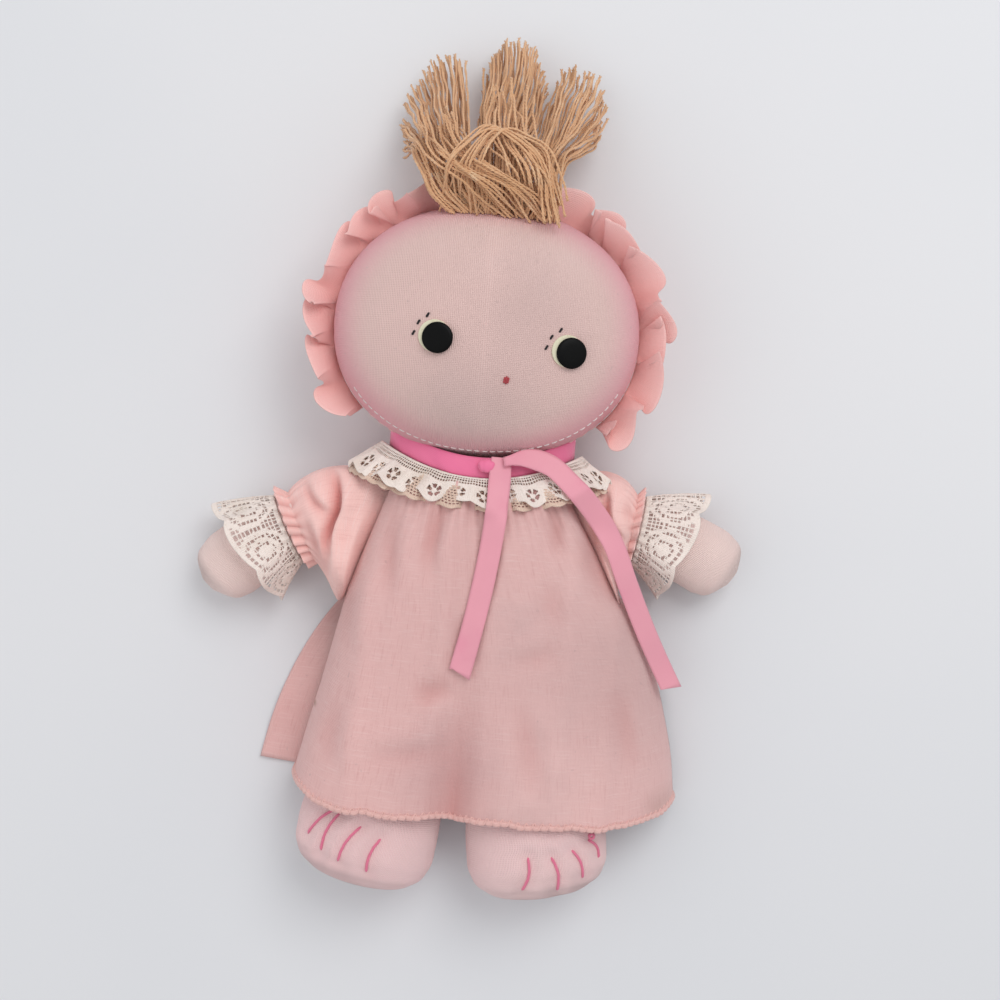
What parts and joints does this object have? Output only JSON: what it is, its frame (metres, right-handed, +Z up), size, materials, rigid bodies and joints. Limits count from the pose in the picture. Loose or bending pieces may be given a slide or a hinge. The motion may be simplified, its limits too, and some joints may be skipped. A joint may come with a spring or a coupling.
{
  "type": "plush rag doll",
  "caption": "Soft stuffed rag doll lying on its back, with a gathered gown, lace trim, bonnet frill, yarn topknot and satin neck ribbon.",
  "frame": {"origin": "middle of the doll's outline on the surface it lies on", "axes": "+Y from the feet to the topknot, +Z up out of the face, +X towards the doll's own left hand"},
  "size_m": [0.2544, 0.4006, 0.0784],
  "materials": {
    "body_knit": "fine ribbed knit",
    "gown_cloth": "plain woven cotton",
    "bonnet_cloth": "plain woven cotton",
    "lace": "open lace",
    "satin": "satin",
    "yarn": "plied yarn",
    "filling": "loose fibre",
    "flock": "flocked",
    "felt": "felt",
    "dark_thread": "embroidery thread",
    "red_thread": "embroidery thread",
    "toe_thread": "embroidery thread",
    "hem_thread": "overlock thread",
    "elastic_tape": "woven elastic"
  },
  "bodies": {
    "torso": {"torso_front_panel": "body_knit", "torso_back_panel": "body_knit", "torso_stuffing": "filling", "gown_front": "gown_cloth", "hem_overlock": "hem_thread", "gown_back": "gown_cloth", "left_sleeve": "gown_cloth", "right_sleeve": "gown_cloth", "neck_lace": "lace", "neck_ribbon": "satin", "ribbon_knot": "satin", "middle_ribbon_tail": "satin", "left_ribbon_tail": "satin"},
    "neck": {"neck": "body_knit"},
    "head": {"face_panel": "body_knit", "head_back_panel": "bonnet_cloth", "head_stuffing": "filling", "bonnet_frill": "bonnet_cloth", "yarn_hair": "yarn", "left_eye_white": "felt", "left_eye": "flock", "left_lash_1": "dark_thread", "left_lash_2": "dark_thread", "left_lash_3": "dark_thread", "right_eye_white": "felt", "right_eye": "flock", "right_lash_1": "dark_thread", "right_lash_2": "dark_thread", "right_lash_3": "dark_thread", "mouth_stitch": "red_thread"},
    "left_arm": {"left_arm_skin": "body_knit", "left_arm_stuffing": "filling", "left_cuff_elastic": "elastic_tape", "left_cuff_lace": "lace"},
    "right_arm": {"right_arm_skin": "body_knit", "right_arm_stuffing": "filling", "right_cuff_elastic": "elastic_tape", "right_cuff_lace": "lace"},
    "legs": {"hip_seam": "body_knit", "left_leg_skin": "body_knit", "left_leg_stuffing": "filling", "left_toe_stitch_1": "toe_thread", "left_toe_stitch_2": "toe_thread", "left_toe_stitch_3": "toe_thread", "left_toe_stitch_4": "toe_thread", "left_toe_knot": "toe_thread", "right_leg_skin": "body_knit", "right_leg_stuffing": "filling", "right_toe_stitch_1": "toe_thread", "right_toe_stitch_2": "toe_thread", "right_toe_stitch_3": "toe_thread", "right_toe_stitch_4": "toe_thread"}
  },
  "joints": [
    {"name": "neck_nod", "type": "hinge", "parent": "torso", "child": "neck", "pos_m": [0.00228, -0.01167, 0.0263], "axis": [1, 0, 0], "range_deg": [-5, 9]},
    {"name": "head_turn", "type": "hinge", "parent": "neck", "child": "head", "pos_m": [0.00228, 0.01, 0.0263], "axis": [0, 1, 0], "range_deg": [-22, 22]},
    {"name": "left_arm_lift", "type": "hinge", "parent": "torso", "child": "left_arm", "pos_m": [0.04249, -0.02732, 0.0283], "axis": [0.316, -0.9488, 0], "range_deg": [0, 55], "deforming": ["left_sleeve", "left_ribbon_tail"]},
    {"name": "right_arm_lift", "type": "hinge", "parent": "torso", "child": "right_arm", "pos_m": [-0.03793, -0.02732, 0.0283], "axis": [0.316, 0.9488, 0], "range_deg": [0, 55], "deforming": ["right_sleeve"]},
    {"name": "hip_fold", "type": "hinge", "parent": "torso", "child": "legs", "pos_m": [0.00228, -0.10947, 0.0283], "axis": [-1, 0, 0], "range_deg": [0, 80], "deforming": ["gown_front", "hem_overlock", "gown_back", "middle_ribbon_tail", "left_ribbon_tail"]}
  ]
}
